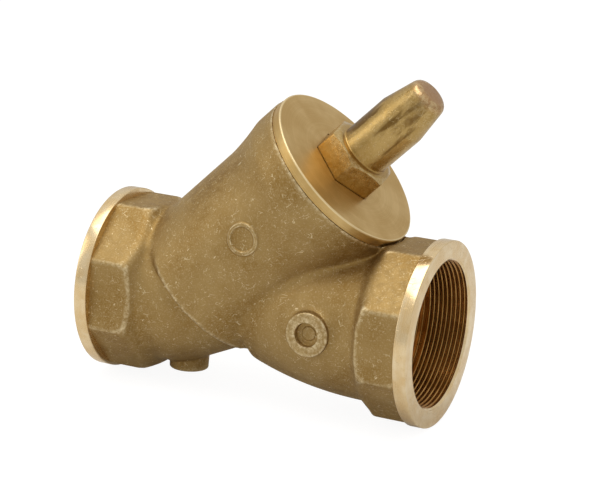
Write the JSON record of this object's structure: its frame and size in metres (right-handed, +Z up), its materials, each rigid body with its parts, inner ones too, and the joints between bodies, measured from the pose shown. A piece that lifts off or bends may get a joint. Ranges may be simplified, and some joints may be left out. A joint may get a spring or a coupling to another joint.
{
  "type": "y strainer",
  "caption": "Screwed brass Y strainer with octagonal socket ends, an inclined screen branch and a screwed cap with a hexagon and a long blind nose.",
  "frame": {"origin": "centre of the inlet port on the run axis, in the plane of the inlet ring's face", "axes": "+X along the run from inlet to outlet, +Z up on the side of the branch, +Y across the run"},
  "size_m": [0.18, 0.093, 0.1696],
  "materials": {
    "forged_brass": "sand-blasted forging with machined end rings",
    "turned_brass": "satin, turned",
    "fibre_gasket": "compressed fibre, matte",
    "stainless_sheet": "rolled sheet, satin",
    "woven_steel": "fine woven wire",
    "stainless_tube": "polished tube",
    "elastomer": "moulded, matte",
    "rod_brass": "turned",
    "aluminium_tube": "drawn tube",
    "nickel_plate": "nickel plated",
    "soft_iron": "ground discs"
  },
  "bodies": {
    "root": {"body": "forged_brass"},
    "screen": {"screen_sleeve": "stainless_sheet", "screen_mesh": "woven_steel", "screen_lower_ring": "stainless_sheet", "screen_upper_ring": "stainless_sheet", "screen_seam_strip": "stainless_sheet"},
    "gasket": {"cap_gasket": "fibre_gasket"},
    "cap": {"cap": "turned_brass", "magnet_sheath": "stainless_tube", "rod_gasket": "elastomer", "rod_lock_ring": "rod_brass", "rod_end_plug": "stainless_tube", "rod_spacer": "aluminium_tube", "magnet_1": "nickel_plate", "magnet_2": "nickel_plate", "magnet_3": "nickel_plate", "magnet_4": "nickel_plate", "magnet_5": "nickel_plate", "pole_disc_1": "soft_iron", "pole_disc_2": "soft_iron", "pole_disc_3": "soft_iron", "pole_disc_4": "soft_iron"}
  },
  "joints": [
    {"name": "cartridge_withdraw", "type": "slide", "parent": "root", "child": "screen", "axis": [0.7071, 0, 0.7071], "range_m": [0, 0.095]},
    {"name": "cap_lift", "type": "slide", "parent": "screen", "child": "gasket", "axis": [0.7071, 0, 0.7071], "range_m": [0, 0.0128]},
    {"name": "cap_turn", "type": "hinge", "parent": "gasket", "child": "cap", "pos_m": [0.048, 0, 0], "axis": [0.7071, 0, 0.7071], "range_deg": [0, 1980]}
  ],
  "couplings": [
    {"joint": "cap_lift", "follows": "cap_turn", "m_per_rad": 0.0003675}
  ]
}
